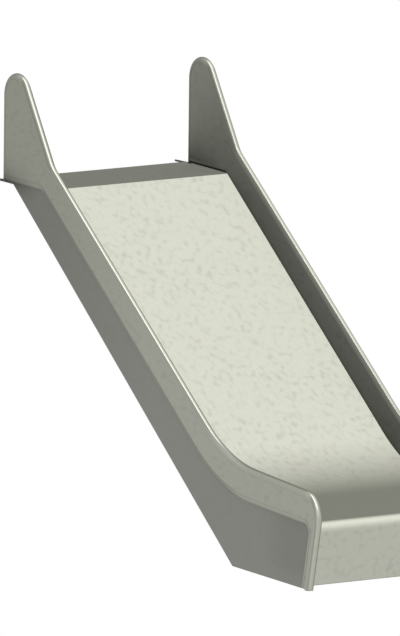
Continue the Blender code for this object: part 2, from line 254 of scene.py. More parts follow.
# The bed.
# One stainless sheet bent to the entry plate, the slope, the run-out, its rounded nose and the
# apron. Its satin face has faint smudges, worn off the run-out, and its underside is duller.
CHUTE_WIDTH = 1.000
CHEEK = 0.040
SHEET = 0.003
PLATE_THICKNESS = 0.005
ENTRY_HEIGHT = 1.560
ENTRY_LENGTH = 0.423
ENTRY_HEM = 0.012
ENTRY_BEND = 0.004
FOLD_RADIUS = 0.004
SLOPE_ANGLE = 34.85
CURVE_RADIUS = 0.970
RUNOUT_ANGLE = 2.0
RUNOUT_END = 2.512
RUNOUT_HEIGHT = 0.317
NOSE_RADIUS = 0.050
APRON_LEAN = 13.7
APRON_BOTTOM = 0.004
APRON_HEM = 0.025
HEM_BEND = 0.006
LEG_FRONT_FOOT = 2.5695
LEG_AXIS_SPACING = 0.031
LEG_INNER_RADIUS = 0.055
FOLD_AT_Y = 2.400
FIT = 0.0003
ROUNDING = 0.000001
ARC_STEP = math.radians(2.5)
LEAST_ARC_STEPS = 4
SHARP_FROM = math.radians(30)
STEEL_TINT = (0.985, 1.0, 0.862)
EDGE_TINT = (0.38, 0.38, 0.36)
SPOT_SCALE = 37.0
SPOT_DETAIL = 0.4
SPOT_STRETCH = (1, 0.55, 1)
SPOT_STOPS = ((0.54, 0.0), (0.76, 1.0))
CLOUD_SCALE = 3.4
CLOUD_STOPS = ((0.38, 0.50), (0.62, 1.0))
WORN_FROM = 1.70
WORN_TO = 2.05
SMUDGE_ROUGHNESS = 0.04
GRAIN_STRETCH = (700, 25, 25)
GRAIN_STRENGTH = 0.006
GRAIN_DEPTH = 0.0003
# Painted shade: an occlusion node darkens the colour where other pieces stand close.
PAINTED_SHADE_REACH = 1.4
PAINTED_SHADE_DEPTH = 1.6
PAINTED_SHADE_SAMPLES = 12
BED_SHADE = 0.488
BED_ROUGHNESS = 0.27
BED_SMUDGE = 0.165
MILL_SHADE = 0.38
MILL_ROUGHNESS = 0.40
MILL_SMUDGE = 0.12


def heading(angle):
    """Unit vector in the side plane at an angle in degrees above forward."""
    return Vector((math.cos(math.radians(angle)), math.sin(math.radians(angle))))


def line(u, z, angle):
    """A straight line of the side profile: a point on it and its direction of travel."""
    return Vector((u, z)), heading(angle)


def shifted(one, distance):
    """The same line moved sideways to the right of its travel."""
    point, direction = one
    return point + Vector((direction.y, -direction.x)) * distance, direction


def meet(first, second):
    """The point where two lines cross."""
    p, d = first
    q, e = second
    along = ((q - p).x * e.y - (q - p).y * e.x) / (d.x * e.y - d.y * e.x)
    return p + d * along


def rounded(before, corner, after, radius):
    """The points of the arc that rounds one corner of a profile."""
    d, e = before[1], after[1]
    swing = math.atan2(d.x * e.y - d.y * e.x, d.dot(e))
    start = corner - d * (radius * math.tan(abs(swing) / 2))
    spoke = Vector((d.y, -d.x)) * math.copysign(radius, swing)
    centre = start - spoke
    steps = max(LEAST_ARC_STEPS, math.ceil(abs(swing) / ARC_STEP))
    points = []
    for step in range(steps + 1):
        angle = swing * step / steps
        points.append(centre + Vector((
            spoke.x * math.cos(angle) - spoke.y * math.sin(angle),
            spoke.x * math.sin(angle) + spoke.y * math.cos(angle))))
    return points


def path(lines, radii):
    """Points along a run of lines with rounded corners; the end lines only end the run."""
    points = [meet(lines[0], lines[1])]
    for before, after, radius in zip(lines[1:], lines[2:], radii):
        points += rounded(before, meet(before, after), after, radius)
    points.append(meet(lines[-2], lines[-1]))
    return points


entry_line = line(0, ENTRY_HEIGHT, 0)
slope_line = line(0, ENTRY_HEIGHT, -SLOPE_ANGLE)
runout_line = line(RUNOUT_END, RUNOUT_HEIGHT, -RUNOUT_ANGLE)
nose_reach = NOSE_RADIUS * math.tan(math.radians(90 + APRON_LEAN - RUNOUT_ANGLE) / 2)
nose_corner = runout_line[0] + runout_line[1] * nose_reach
apron_line = line(nose_corner.x, nose_corner.y, -90 - APRON_LEAN)
hem_end = meet(apron_line, line(0, APRON_BOTTOM, 0)).x - APRON_HEM
bed_top = path([
    line(0, ENTRY_HEIGHT - ENTRY_HEM, 0), line(-ENTRY_LENGTH, ENTRY_HEIGHT, 90),
    entry_line, slope_line, runout_line, apron_line,
    line(0, APRON_BOTTOM, 180), line(hem_end, APRON_BOTTOM, 90),
], (ENTRY_BEND, FOLD_RADIUS, CURVE_RADIUS, NOSE_RADIUS, HEM_BEND))

# The bed reaches in under the cheeks as far as the legs, and past that it stands between them.
bed_half = CHUTE_WIDTH / 2 + CHEEK / 2 - PLATE_THICKNESS / 2 - FIT
apron_half = CHUTE_WIDTH / 2 - FIT
SEAT = CHEEK / 2 + FIT
leg_front = line(LEG_FRONT_FOOT, 0, -90 - APRON_LEAN)
leg_back = shifted((leg_front[0], -leg_front[1]), -LEG_AXIS_SPACING)
notch_start = meet(shifted(leg_back, -SEAT), runout_line).x - LEG_INNER_RADIUS


def smudges(tree, place, worn):
    """Small spots that gather in clouds. Where they are worn off, the run-out has none."""
    along = add_node(tree, "ShaderNodeMapping", {
        "Vector": place, "Rotation": (math.radians(-SLOPE_ANGLE), 0, 0), "Scale": SPOT_STRETCH})
    spots = add_node(tree, "ShaderNodeTexNoise", {
        "Vector": along.outputs[0], "Scale": SPOT_SCALE, "Detail": SPOT_DETAIL})
    clouds = add_node(tree, "ShaderNodeTexNoise", {"Vector": place, "Scale": CLOUD_SCALE})
    marks = product(tree, ramp(tree, spots.outputs["Fac"], SPOT_STOPS),
                    ramp(tree, clouds.outputs["Fac"], CLOUD_STOPS))
    if not worn:
        return marks
    axes = axes_of(tree, "Object")
    on_slope = fade(tree, axes["Y"], FOLD_AT_Y - WORN_TO, FOLD_AT_Y - WORN_FROM)
    on_apron = fade(tree, axes["Z"], RUNOUT_HEIGHT - SHEET, RUNOUT_HEIGHT - NOSE_RADIUS)
    return product(tree, marks, calculate(tree, "MAXIMUM", on_slope, on_apron))


def brushed(tree, place):
    """The fine lines that satin polishing leaves, as a bump."""
    lines = add_node(tree, "ShaderNodeMapping", {"Vector": place, "Scale": GRAIN_STRETCH})
    grain = add_node(tree, "ShaderNodeTexNoise", {"Vector": lines.outputs[0], "Scale": 1.0})
    return add_node(tree, "ShaderNodeBump", {
        "Height": grain.outputs["Fac"], "Strength": GRAIN_STRENGTH,
        "Distance": GRAIN_DEPTH}).outputs[0]


def painted_shade(tree, depth):
    """Painted shade from the pieces close by, as a level: 1 in the open."""
    occlusion = add_node(tree, "ShaderNodeAmbientOcclusion", {"Distance": PAINTED_SHADE_REACH},
                       samples=PAINTED_SHADE_SAMPLES)
    return calculate(tree, "POWER", occlusion.outputs["AO"], depth)


def steel(name, shade, tint, roughness, smudge, depth=PAINTED_SHADE_DEPTH, worn=False):
    """Satin steel: soft smudges, a fine grain, and painted shade where other pieces stand close."""
    material = bpy.data.materials.new(name)
    material.use_nodes = True
    tree = material.node_tree
    shader = tree.nodes["Principled BSDF"]
    shader.inputs["Metallic"].default_value = 1.0
    shader.inputs["Specular Tint"].default_value = (*EDGE_TINT, 1)
    place = add_node(tree, "ShaderNodeTexCoord").outputs["Object"]
    marks = smudges(tree, place, worn)
    level = dimmed(tree, marks, smudge)
    if depth:
        level = product(tree, level, painted_shade(tree, depth))
    colour = add_node(tree, "ShaderNodeVectorMath", {0: level, 1: Vector(tint) * shade},
                      operation="MULTIPLY")
    tree.links.new(colour.outputs[0], shader.inputs["Base Color"])
    rough = calculate(tree, "MULTIPLY_ADD", marks, SMUDGE_ROUGHNESS, roughness)
    tree.links.new(rough, shader.inputs["Roughness"])
    tree.links.new(brushed(tree, place), shader.inputs["Normal"])
    return material


def finish_piece(piece, slot, *nodes):
    """Every piece rides on the slide's one body and stands for its solids."""
    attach(piece, "root")
    if nodes:
        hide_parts(*nodes)


def make_bed():
    """The bed's face as a grid of long strips, thickened downwards to the sheet."""
    work = bmesh.new()
    columns = (-bed_half, -apron_half, apron_half, bed_half)
    stations = []
    for before, after in zip(bed_top, bed_top[1:]):
        stations.append(before)
        if before.x < notch_start < after.x and before.y < ENTRY_HEIGHT / 2:
            stations.append(before.lerp(after, (notch_start - before.x) / (after.x - before.x)))
    stations.append(bed_top[-1])
    rows = [[work.verts.new((x, FOLD_AT_Y - p.x, p.y)) for x in columns] for p in stations]
    full_width = True
    for row, following, point in zip(rows, rows[1:], stations):
        if point.x >= notch_start - ROUNDING:
            full_width = False
        for column in range(len(columns) - 1):
            if column == 1 or full_width:
                work.faces.new((row[column], row[column + 1],
                                following[column + 1], following[column]))
    bmesh.ops.delete(work, geom=[v for v in work.verts if not v.link_faces], context="VERTS")
    bmesh.ops.recalc_face_normals(work, faces=work.faces)
    mesh = bpy.data.meshes.new("bent_bed")
    work.to_mesh(mesh)
    work.free()
    piece = bpy.data.objects.new("bent_bed", mesh)
    bpy.context.scene.collection.objects.link(piece)
    thick = piece.modifiers.new("sheet", "SOLIDIFY")
    thick.thickness = SHEET
    thick.offset = -1
    thick.use_even_offset = True
    thick.material_offset = 1
    evaluated = piece.evaluated_get(bpy.context.evaluated_depsgraph_get())
    final = bpy.data.meshes.new_from_object(evaluated)
    piece.modifiers.clear()
    piece.data = final
    final.shade_smooth()
    final.set_sharp_from_angle(angle=SHARP_FROM)
    return piece


bent_bed = make_bed()
bent_bed.data.materials.append(steel(
    "bed_steel", BED_SHADE, STEEL_TINT, BED_ROUGHNESS, BED_SMUDGE, depth=0.0, worn=True))
# The underside's steel also gets painted shade where other pieces stand close.
bent_bed.data.materials.append(steel(
    "mill_steel", MILL_SHADE, STEEL_TINT, MILL_ROUGHNESS, MILL_SMUDGE))
bent_bed.visible_glossy = False
finish_piece(bent_bed, "bed_steel", "slide_bed")


# The edging of the cheeks.
# A steel strip rolled to a half-round nose with a short flat on each side runs round every
# cheek. It comes in two lengths: over the top and down the leg, and along the bed.
EDGING_FLANGE = 0.007
LAP = 0.0006
EAR_BACK = 0.361
EAR_BACK_LEAN = 1.3
EAR_TOP_RADIUS = 0.1007
EAR_FRONT_ANGLE = 55.9
EAR_FRONT_FOOT = 0.157
EAR_BLEND_RADIUS = 0.150
RAIL_TOP_RISE = 0.1685
RAIL_SLOPE_ANGLE = 34.47
RAIL_CURVE_RADIUS = 0.900
RAIL_RUNOUT_ANGLE = 2.83
RAIL_RUNOUT_HEIGHT = 0.4626
RAIL_RUNOUT_AT = 2.500
RAIL_CORNER_RADIUS = 0.110
UPPER_START = 0.0008
LOWER_FOLD_RADIUS = 0.0005
FOOT_PLATE = 0.004
FOOT_SPARE = 0.020
HEEL_RADIUS = 0.035
NOSE_STEPS = 13
MERGE_DISTANCE = 0.00001
SAME_PLACE_DIGITS = 5
EDGE_SHADE = 0.546
RAIL_ROUGHNESS = 0.18
LOWER_ROUGHNESS = 0.28
EDGING_SMUDGE = 0.04
FLANK_FROM = 0.45
FLANK_TO = 0.85
FLANK_LEAST = 0.25
FLANK_REACH = 2.5
# Painted shade: the crown of the upper rails is darker than its flanks.
CROWN_PAINTED_SHADE = 0.80
CROWN_FROM = 0.37
CROWN_TO = 0.12
# Painted shade on faces of the edging that look straight up.
UPWARD_SHADE_DEPTH = 0.16
UPWARD_SHADE_FROM = 0.86
UPWARD_SHADE_TO = 0.96
# Painted light: upright faces are lightened toward the outlet.
PAINTED_LIGHT_GAIN = 0.22
PAINTED_LIGHT_REACH = 1.1
# Painted shade at the foot of each ear, toward its back.
EAR_SHADE_DEPTH = 0.62
EAR_SHADE_HEIGHT = 0.055
EAR_SHADE_FROM = 2.45
EAR_SHADE_TO = 2.73
# The outer roll of the lower edging is darker along the slope.
ROLL_OUTWARD = 0.15
ROLL_START = 0.02
ROLL_END = 1.98
ROLL_FADE = 1.75
ROLL_DARKENING = 0.24

ear_back = line(-EAR_BACK, ENTRY_HEIGHT, 90 - EAR_BACK_LEAN)
ear_front = line(EAR_FRONT_FOOT, ENTRY_HEIGHT, -EAR_FRONT_ANGLE)
rail_slope = line(0, ENTRY_HEIGHT + RAIL_TOP_RISE, -RAIL_SLOPE_ANGLE)
rail_runout = line(RAIL_RUNOUT_AT, RAIL_RUNOUT_HEIGHT, -RAIL_RUNOUT_ANGLE)
foot_line = line(0, FOOT_PLATE + FIT, 180)


def above(one, distance):
    """A bed line raised square to itself, and travelled backwards."""
    point, direction = shifted(one, -distance)
    return point, -direction


upper_axis = path(
    [line(0, ENTRY_HEIGHT + UPPER_START, 0), ear_back, ear_front, rail_slope, rail_runout,
     leg_front, foot_line],
    (EAR_TOP_RADIUS, EAR_BLEND_RADIUS, RAIL_CURVE_RADIUS, RAIL_CORNER_RADIUS))
lower_axis = path(
    [foot_line, leg_back, above(runout_line, SEAT), above(slope_line, SEAT),
     above(entry_line, SEAT), shifted(ear_back, EDGING_FLANGE + FIT)],
    (LEG_INNER_RADIUS, CURVE_RADIUS - SEAT, SEAT + LOWER_FOLD_RADIUS))


def edging_tree():
    """Nodes that sweep the edging's section along its nose and trim its foot to the ground."""
    tree = bpy.data.node_groups.new("rolled_edging", "GeometryNodeTree")
    for name, kind in (("Nose Line", "Geometry"), ("Thickness", "Float"), ("Flange", "Float"),
                       ("Foot Level", "Float"), ("Lean", "Vector"), ("Rounded Heel", "Bool"),
                       ("Heel Centre", "Vector"), ("Heel Radius", "Float"),
                       ("Steel", "Material")):
        tree.interface.new_socket(name, in_out="INPUT", socket_type="NodeSocket" + kind)
    tree.interface.new_socket("Edging", in_out="OUTPUT", socket_type="NodeSocketGeometry")
    given = add_node(tree, "NodeGroupInput").outputs
    half = calculate(tree, "MULTIPLY", given["Thickness"], 0.5)
    deep = calculate(tree, "ADD", half, given["Flange"])
    block = add_node(tree, "GeometryNodeCurvePrimitiveQuadrilateral", {
        "Width": given["Thickness"], "Height": deep})
    inward = calculate(tree, "MULTIPLY", calculate(tree, "SUBTRACT", given["Flange"], half), 0.5)
    offset = add_node(tree, "ShaderNodeCombineXYZ", {"Y": inward})
    seated = add_node(tree, "GeometryNodeTransform", {
        "Geometry": block.outputs["Curve"], "Translation": offset.outputs[0]})
    place = add_node(tree, "GeometryNodeInputPosition").outputs[0]
    across = add_node(tree, "ShaderNodeSeparateXYZ", {0: place}).outputs
    at_nose = calculate(tree, "LESS_THAN", across["Y"], 0.0)
    section = add_node(tree, "GeometryNodeFilletCurve", {
        "Curve": seated.outputs[0], "Count": NOSE_STEPS,
        "Radius": calculate(tree, "MULTIPLY", half, at_nose), "Limit Radius": True}, mode="POLY")
    nose_line = add_node(tree, "GeometryNodeMeshToCurve", {"Mesh": given["Nose Line"]})
    swept = add_node(tree, "GeometryNodeCurveToMesh", {
        "Curve": nose_line.outputs[0], "Profile Curve": section.outputs[0], "Fill Caps": True})
    merged = add_node(tree, "GeometryNodeMergeByDistance", {
        "Geometry": swept.outputs[0], "Distance": MERGE_DISTANCE})

    def vector(operation, *values):
        made = add_node(tree, "ShaderNodeVectorMath", dict(enumerate(values)), operation=operation)
        return made.outputs["Value" if operation == "DOT_PRODUCT" else "Vector"]

    level = add_node(tree, "ShaderNodeSeparateXYZ", {0: place}).outputs["Z"]
    rise = add_node(tree, "ShaderNodeSeparateXYZ", {0: given["Lean"]}).outputs["Z"]
    plain = calculate(tree, "DIVIDE", calculate(tree, "SUBTRACT", given["Foot Level"], level), rise)
    spoke = vector("MULTIPLY", vector("SUBTRACT", place, given["Heel Centre"]), (0, 1, 1))
    along = vector("DOT_PRODUCT", spoke, given["Lean"])
    beyond = calculate(tree, "SUBTRACT", vector("DOT_PRODUCT", spoke, spoke),
                       calculate(tree, "POWER", given["Heel Radius"], 2.0))
    reach = calculate(tree, "SQRT", calculate(tree, "MAXIMUM", calculate(
        tree, "SUBTRACT", calculate(tree, "POWER", along, 2.0), beyond), 0.0))
    to_heel = calculate(tree, "MULTIPLY", calculate(tree, "ADD", along, reach), -1.0)
    back_up = add_node(tree, "GeometryNodeSwitch", {
        "Switch": given["Rounded Heel"], "False": plain, "True": to_heel}, input_type="FLOAT")
    lift = add_node(tree, "ShaderNodeVectorMath", {
        0: given["Lean"], "Scale": back_up.outputs[0]}, operation="SCALE")
    below = add_node(tree, "FunctionNodeCompare", {
        "A": level, "B": given["Foot Level"]}, data_type="FLOAT", operation="LESS_THAN")
    trimmed = add_node(tree, "GeometryNodeSetPosition", {
        "Geometry": merged.outputs[0], "Selection": below.outputs[0], "Offset": lift.outputs[0]})
    realized = add_node(tree, "GeometryNodeRealizeInstances", {0: trimmed.outputs[0]})
    clad = add_node(tree, "GeometryNodeSetMaterial", {
        "Geometry": realized.outputs[0], "Material": given["Steel"]})
    add_node(tree, "NodeGroupOutput", {"Edging": clad.outputs[0]})
    return tree


def grow(name, points, edges, tree, values):
    """The plain mesh that a node tree makes from a few points and its named sizes."""
    base = bpy.data.meshes.new(name)
    base.from_pydata(points, edges, [])
    piece = bpy.data.objects.new(name, base)
    bpy.context.scene.collection.objects.link(piece)
    modifier = piece.modifiers.new(name, "NODES")
    modifier.node_group = tree
    for socket in tree.interface.items_tree:
        if socket.in_out == "INPUT" and socket.name in values:
            modifier[socket.identifier] = values[socket.name]
    evaluated = piece.evaluated_get(bpy.context.evaluated_depsgraph_get())
    mesh = bpy.data.meshes.new_from_object(evaluated)
    piece.modifiers.clear()
    piece.data = mesh
    return piece


def tidy_ends(mesh):
    """Split the end faces of an edging across into strips, and turn all its faces outwards."""
    work = bmesh.new()
    work.from_mesh(mesh)
    for face in [face for face in work.faces if len(face.verts) > 4]:
        pairs = {}
        for vert in face.verts:
            spot = (round(vert.co.y, SAME_PLACE_DIGITS), round(vert.co.z, SAME_PLACE_DIGITS))
            pairs.setdefault(spot, []).append(vert)
        for pair in pairs.values():
            if len(pair) == 2:
                bmesh.ops.connect_verts(work, verts=pair)
    bmesh.ops.recalc_face_normals(work, faces=work.faces)
    work.to_mesh(mesh)
    work.free()
    mesh.shade_smooth()
    mesh.set_sharp_from_angle(angle=SHARP_FROM)


def shade_by(material, level):
    """Multiply a steel's colour by a level that its own tree works out."""
    tree = material.node_tree
    colour = tree.nodes["Principled BSDF"].inputs["Base Color"]
    shaded = add_node(tree, "ShaderNodeVectorMath", {
        0: colour.links[0].from_socket, 1: level}, operation="MULTIPLY")
    tree.links.new(shaded.outputs[0], colour)


def forward_share(tree, axes):
    """How far a spot is on the way from the fold toward the outlet, up to 1."""
    return fade(tree, axes["Y"], FOLD_AT_Y, FOLD_AT_Y - PAINTED_LIGHT_REACH, smooth=False)


def painted_ear_shade(tree, axes):
    """How much painted shade darkens the foot at the back of an ear: 1 where there is none."""
    back = fade(tree, axes["Y"], EAR_SHADE_FROM, EAR_SHADE_TO, smooth=False)
    height = calculate(tree, "ABSOLUTE", calculate(tree, "SUBTRACT", axes["Z"], ENTRY_HEIGHT))
    low = calculate(tree, "EXPONENT", calculate(tree, "DIVIDE", height, -EAR_SHADE_HEIGHT))
    return dimmed(tree, product(tree, back, low), EAR_SHADE_DEPTH)


def painted_light_and_shade(tree, axes):
    """Painted light and shade on an upright face: lighter toward the outlet, darker at the ear's
    foot.
    """
    painted_light = calculate(tree, "MULTIPLY_ADD", forward_share(tree, axes), PAINTED_LIGHT_GAIN, 1.0)
    return product(tree, painted_light, painted_ear_shade(tree, axes))


def rolled_steel(name, roughness, upper):
    """Rolled steel: painted shade on its flanks round to the nose, painted light toward the outlet,
    and painted shade on faces that look straight up.

    The upper rail also has a crown darkened with painted shade, and painted shade at the back foot
    of the ear.
    """
    material = steel(name, EDGE_SHADE, STEEL_TINT, roughness, EDGING_SMUDGE, depth=0.0)
    tree = material.node_tree
    axes = axes_of(tree, "Object")
    facing = axes_of(tree, "Normal")
    sideways = calculate(tree, "ABSOLUTE", facing["X"])
    turned = calculate(tree, "POWER", calculate(tree, "MAXIMUM", sideways, FLANK_LEAST),
                       FLANK_REACH)
    # Painted shade on the flanks, deeper the further the face turns toward the nose.
    occlusion = painted_shade(tree, calculate(tree, "DIVIDE", PAINTED_SHADE_DEPTH, turned))
    flat = fade(tree, sideways, FLANK_FROM, FLANK_TO)
    painted_light = calculate(tree, "MULTIPLY_ADD", product(tree, forward_share(tree, axes), flat),
                     PAINTED_LIGHT_GAIN, 1.0)
    tone = product(tree, occlusion, painted_light)
    if upper:
        # Painted shade makes the crown darker.
        crown = product(tree, painted_shade(tree, PAINTED_SHADE_DEPTH), CROWN_PAINTED_SHADE)
        tone = calculate(tree, "MULTIPLY_ADD", calculate(tree, "SUBTRACT", crown, tone),
                         fade(tree, sideways, CROWN_FROM, CROWN_TO), tone)
        tone = product(tree, tone, painted_ear_shade(tree, axes))
    # Painted shade darkens the faces that look straight up.
    upward_shade = dimmed(tree, fade(tree, facing["Z"], UPWARD_SHADE_FROM, UPWARD_SHADE_TO), UPWARD_SHADE_DEPTH)
    shade_by(material, product(tree, tone, upward_shade))
    return material


def darken_the_roll(material):
    """The outer roll of the lower edging: without the painted occlusion shade, and darker along the
    slope.
    """
    tree = material.node_tree
    axes = axes_of(tree, "Object")
    across = axes_of(tree, "Normal")["X"]
    outward = fade(tree, product(tree, axes["X"], across), 0.0, ROLL_OUTWARD)
    below_fold = fade(tree, axes["Y"], FOLD_AT_Y - ROLL_START, FOLD_AT_Y - ROLL_START * 2)
    above_runout = fade(tree, axes["Y"], FOLD_AT_Y - ROLL_END, FOLD_AT_Y - ROLL_FADE)
    darker = dimmed(tree, product(tree, below_fold, above_runout), ROLL_DARKENING)
    open_tone = add_node(tree, "ShaderNodeVectorMath", {
        0: product(tree, darker, painted_light_and_shade(tree, axes)), 1: Vector(STEEL_TINT) * EDGE_SHADE},
        operation="MULTIPLY")
    colour = tree.nodes["Principled BSDF"].inputs["Base Color"]
    both = add_node(tree, "ShaderNodeMix", {"Factor": outward}, data_type="RGBA")
    tree.links.new(colour.links[0].from_socket, both.inputs["A"])
    tree.links.new(open_tone.outputs[0], both.inputs["B"])
    for socket in both.outputs:
        if socket.enabled:
            tree.links.new(socket, colour)


back_face = shifted(leg_back, -CHEEK / 2)
sole_line = (foot_line[0], -foot_line[1])
heel = rounded((back_face[0], -back_face[1]), meet(back_face, sole_line), sole_line, HEEL_RADIUS)
upper_axis[-1] += leg_front[1] * FOOT_SPARE
lower_axis[0] -= leg_back[1] * FOOT_SPARE
lean = Vector((0, -leg_back[1].x, leg_back[1].y))

edging_steel = rolled_steel("edging_steel", RAIL_ROUGHNESS, upper=True)
lower_steel = rolled_steel("lower_steel", LOWER_ROUGHNESS, upper=False)
darken_the_roll(lower_steel)
edging_nodes = edging_tree()
cheek_axis = CHUTE_WIDTH / 2 + CHEEK / 2
for side, sign in (("left", -1), ("right", 1)):
    for label, axis, finish in (("upper", upper_axis, edging_steel),
                                ("lower", lower_axis, lower_steel)):
        nose_line = [(sign * cheek_axis, FOLD_AT_Y - p.x, p.y) for p in axis]
        links = [(index, index + 1) for index in range(len(nose_line) - 1)]
        rail = grow(f"{label}_rail_{side}", nose_line, links, edging_nodes, {
            "Thickness": CHEEK, "Flange": EDGING_FLANGE + LAP, "Foot Level": foot_line[0].y,
            "Lean": lean, "Rounded Heel": label == "lower",
            "Heel Centre": (0, FOLD_AT_Y - heel[-1].x, foot_line[0].y + HEEL_RADIUS),
            "Heel Radius": HEEL_RADIUS, "Steel": finish})
        tidy_ends(rail.data)
        rail.visible_glossy = False
        rails.objects.link(rail)
        finish_piece(rail, "edging_steel", f"{label}_edging_{side}")


# The skins of the cheeks.
# Flat sheets close the faces of each cheek between the two lengths of edging, set back by
# less than a millimetre, so that a fine groove shows round them.
SKIN_SHADE = 0.563
SKIN_ROUGHNESS = 0.30
SKIN_SMUDGE = 0.13


def flat_steel(name, shade, tint, roughness, smudge, depth=PAINTED_SHADE_DEPTH):
    """Satin steel on an upright face, with painted light toward the outlet and painted shade at the
    ear's foot.
    """
    material = steel(name, shade, tint, roughness, smudge, depth)
    tree = material.node_tree
    shade_by(material, painted_light_and_shade(tree, axes_of(tree, "Object")))
    return material


def dress(node, material):
    """Give one of the solids its finish, and keep it out of the other pieces' reflections."""
    node.data.materials.clear()
    node.data.materials.append(material)
    node.visible_glossy = False


# The skins get painted shade near the bed and the other pieces, the inner skins most.
skin_steel = flat_steel("skin_steel", SKIN_SHADE, STEEL_TINT, SKIN_ROUGHNESS, SKIN_SMUDGE)
for side in ("left", "right"):
    for face_name in ("outer", "inner"):
        dress(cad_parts[f"{face_name}_skin_{side}"], skin_steel)


# The side plates.
# A plate of plain darker steel carries each cheek down to the ground. Painted shade darkens it
# beside the leg, and less so in a strip along the ground.
PLATE_SHADE = 0.388
PLATE_TINT = (0.98, 1.0, 0.907)
PLATE_ROUGHNESS = 0.35
PLATE_SMUDGE = 0.03
# How deep the painted shade goes on the plates where other pieces stand close.
PLATE_PAINTED_SHADE_DEPTH = 0.4
LEG_SHADE = 0.11
LEG_SHADE_FROM = 2.10
LEG_SHADE_TO = 2.40
FOOT_STRIP_LOW = 0.03
FOOT_STRIP_HIGH = 0.10
FOOT_STRIP_LEFT = 0.35


def shade_by_the_leg(material):
    """Painted shade on a plate toward the leg, but less of it along the ground."""
    tree = material.node_tree
    axes = axes_of(tree, "Object")
    near = fade(tree, axes["Y"], FOLD_AT_Y - LEG_SHADE_FROM, FOLD_AT_Y - LEG_SHADE_TO)
    high = fade(tree, axes["Z"], FOOT_STRIP_LOW, FOOT_STRIP_HIGH)
    kept = calculate(tree, "MULTIPLY_ADD", high, 1.0 - FOOT_STRIP_LEFT, FOOT_STRIP_LEFT)
    shade_by(material, dimmed(tree, product(tree, near, kept), LEG_SHADE))


plate_steel = flat_steel("plate_steel", PLATE_SHADE, PLATE_TINT, PLATE_ROUGHNESS, PLATE_SMUDGE,
                         PLATE_PAINTED_SHADE_DEPTH)
shade_by_the_leg(plate_steel)
for side in ("left", "right"):
    dress(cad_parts[f"stringer_{side}"], plate_steel)


# The bars under the bed, and the feet.
# Angle bars, flat bars and channels in satin steel are welded in between the side plates.
# Small plates in the steel of the rails close the feet of the legs.
BAR_SHADE = 0.40
BAR_TINT = (0.98, 1.0, 0.92)
BAR_ROUGHNESS = 0.38
BAR_SMUDGE = 0.08

# The bars get painted shade where other pieces stand close.
bar_steel = steel("bar_steel", BAR_SHADE, BAR_TINT, BAR_ROUGHNESS, BAR_SMUDGE)
for node_name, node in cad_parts.items():
    if any(word in node_name for word in ("rib", "lip", "foot")):
        dress(node, edging_steel if "leg" in node_name else bar_steel)


# The welds under the bed.
# Rows of small overlapping beads: all round the ends of the angle bars and channels, and in
# short runs where the bars meet the bed and the lips meet the side plates.
BEAD_RADIUS = 0.0026
BEAD_PITCH = 0.0030
BEAD_SIDES = 6
BEAD_RINGS = 5
BEAD_LEAST = 0.8
BEAD_MOST = 1.15
BEAD_SEED = 7
RIB_SIZE = 0.040
RIB_THICKNESS = 0.004
ENTRY_RIB_AT = -0.200
SLOPE_RIB_DISTANCES = (0.22, 0.70, 1.18, 1.66)
RUNOUT_RIB_POSITIONS = (2.080, 2.300)
RIB_RUNS = 7
RIB_RUN_SPACING = 0.150
RIB_RUN_LENGTH = 0.030
STRINGER_BACK = 0.299
STRINGER_DROP = 0.0105
STRINGER_GROUND_START = 1.844
LIP_BACK = -0.200
LIP_FRONT = 1.800
LIP_THICKNESS = 0.005
LIP_RUNS = 12
LIP_RUN_LENGTH = 0.040
FOOT_CHANNELS = (2.400, 1.920)
CHANNEL_WIDTH = 0.060
CHANNEL_HEIGHT = 0.045
WELD_SHADE = 0.34
WELD_TINT = (1.0, 0.97, 0.90)
WELD_ROUGHNESS = 0.42
WELD_SMUDGE = 0.10


def bead_tree():
    """Nodes that set slightly uneven beads closely along lines."""
    tree = bpy.data.node_groups.new("weld_beads", "GeometryNodeTree")
    for name, kind in (("Lines", "Geometry"), ("Bead Radius", "Float"), ("Pitch", "Float"),
                       ("Seed", "Int"), ("Steel", "Material")):
        tree.interface.new_socket(name, in_out="INPUT", socket_type="NodeSocket" + kind)
    tree.interface.new_socket("Beads", in_out="OUTPUT", socket_type="NodeSocketGeometry")
    given = add_node(tree, "NodeGroupInput").outputs
    lines = add_node(tree, "GeometryNodeMeshToCurve", {"Mesh": given["Lines"]})
    spaced = add_node(tree, "GeometryNodeResampleCurve", {
        "Curve": lines.outputs[0], "Length": given["Pitch"]}, mode="LENGTH")
    bead = add_node(tree, "GeometryNodeMeshUVSphere", {
        "Segments": BEAD_SIDES, "Rings": BEAD_RINGS, "Radius": given["Bead Radius"]})
    uneven = add_node(tree, "FunctionNodeRandomValue", {
        0: (BEAD_LEAST,) * 3, 1: (BEAD_MOST,) * 3, "Seed": given["Seed"]},
        data_type="FLOAT_VECTOR")
    laid = add_node(tree, "GeometryNodeInstanceOnPoints", {
        "Points": spaced.outputs[0], "Instance": bead.outputs[0], "Scale": uneven.outputs[0]})
    realized = add_node(tree, "GeometryNodeRealizeInstances", {0: laid.outputs[0]})
    clad = add_node(tree, "GeometryNodeSetMaterial", {
        "Geometry": realized.outputs[0], "Material": given["Steel"]})
    add_node(tree, "NodeGroupOutput", {"Beads": clad.outputs[0]})
    return tree


def rib_corners():
    """The upper back corner of each angle bar and its direction along the bed."""
    slope_under = shifted(slope_line, SHEET + FIT)
    runout_under = shifted(runout_line, SHEET + FIT)
    corners = [(Vector((ENTRY_RIB_AT, ENTRY_HEIGHT - SHEET - FIT)), entry_line[1])]
    for distance in SLOPE_RIB_DISTANCES:
        corners.append((slope_under[0] + slope_under[1] * distance, slope_under[1]))
    for at in RUNOUT_RIB_POSITIONS:
        corners.append((meet(line(at, 0, 90), runout_under), runout_under[1]))
    return corners


